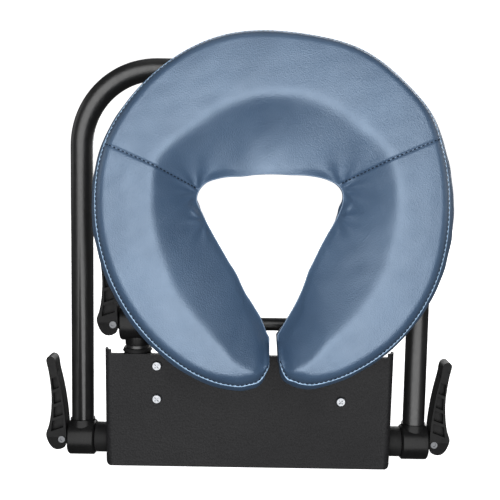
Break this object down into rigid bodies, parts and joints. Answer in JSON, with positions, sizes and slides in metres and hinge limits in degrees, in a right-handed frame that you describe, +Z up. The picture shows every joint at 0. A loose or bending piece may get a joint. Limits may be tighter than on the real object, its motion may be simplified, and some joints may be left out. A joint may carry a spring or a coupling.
{
  "type": "face cradle cushion",
  "caption": "Horseshoe-shaped padded face cushion on a folding tabletop cradle: sheet-steel housing, bent-tube base loop, sliding posts and clamp levers for tilt.",
  "frame": {"origin": "middle of the housing's flat bottom face", "axes": "+X to the right seen from the cushion's front, +Y back over the base loop when it is folded out, +Z up"},
  "size_m": [0.4066, 0.1563, 0.4195],
  "materials": {
    "vinyl": "satin",
    "foam": "matte",
    "loop_fabric": "matte",
    "hook_tape": "matte",
    "platform_plastic": "matte",
    "black_steel": "matte powder coat",
    "loop_steel": "satin powder coat",
    "hub_plastic": "satin",
    "lever_plastic": "satin",
    "friction_rubber": "matte",
    "zinc": "zinc plated"
  },
  "bodies": {
    "housing": {"housing": "black_steel", "guide_block_left": "hub_plastic", "guide_block_right": "hub_plastic", "housing_screws": "zinc", "spacer_left": "hub_plastic", "spacer_right": "hub_plastic"},
    "base_loop": {"base_loop": "loop_steel", "fold_hub_left": "hub_plastic", "fold_hub_right": "hub_plastic", "fold_bolt_left": "zinc", "fold_bolt_right": "zinc", "fold_nuts": "zinc", "fold_pin_left": "zinc", "fold_pin_right": "zinc"},
    "post_carriage": {"post_left": "black_steel", "post_right": "black_steel", "tilt_hub_left": "hub_plastic", "tilt_hub_right": "hub_plastic", "post_caps": "hub_plastic"},
    "head": {"cushion_cover": "vinyl", "foam_core": "foam", "loop_backing": "loop_fabric", "hook_strips": "hook_tape", "head_platform": "platform_plastic", "platform_bracket_left": "black_steel", "platform_bracket_right": "black_steel", "platform_screws": "zinc", "cross_tube": "black_steel", "tilt_disc_left": "friction_rubber", "tilt_disc_right": "friction_rubber", "tilt_bolt_left": "zinc", "tilt_bolt_right": "zinc", "tilt_pin_left": "zinc", "tilt_pin_right": "zinc"},
    "tilt_lever_left": {"tilt_lever_left": "lever_plastic"},
    "tilt_lever_right": {"tilt_lever_right": "lever_plastic"},
    "fold_lever_left": {"fold_lever_left": "lever_plastic"},
    "fold_lever_right": {"fold_lever_right": "lever_plastic"}
  },
  "joints": [
    {"name": "base_fold", "type": "hinge", "parent": "housing", "child": "base_loop", "pos_m": [0, 0.0045, 0.0178], "axis": [-1, 0, 0], "range_deg": [0, 87.5]},
    {"name": "post_slide", "type": "slide", "parent": "housing", "child": "post_carriage", "axis": [0, 0, 1], "range_m": [-0.0028, 0.06]},
    {"name": "head_tilt", "type": "hinge", "parent": "post_carriage", "child": "head", "pos_m": [0, -0.01, 0.142], "axis": [-1, 0, 0], "range_deg": [0, 70]},
    {"name": "tilt_lever_left_turn", "type": "hinge", "parent": "head", "child": "tilt_lever_left", "pos_m": [-0.132, -0.01, 0.142], "axis": [0, -1, 0], "range_deg": [0, 90]},
    {"name": "tilt_lever_right_turn", "type": "hinge", "parent": "head", "child": "tilt_lever_right", "pos_m": [0.132, -0.01, 0.142], "axis": [0, 1, 0], "range_deg": [0, 90]},
    {"name": "fold_lever_left_turn", "type": "hinge", "parent": "base_loop", "child": "fold_lever_left", "pos_m": [-0.1875, 0.0045, 0.0178], "axis": [0, -0.9984, 0.0558], "range_deg": [0, 90]},
    {"name": "fold_lever_right_turn", "type": "hinge", "parent": "base_loop", "child": "fold_lever_right", "pos_m": [0.1875, 0.0045, 0.0178], "axis": [0, 0.9984, -0.0558], "range_deg": [0, 90]}
  ],
  "couplings": [
    {"joint": "head_tilt", "follows": "base_fold", "ratio": 0.8}
  ]
}
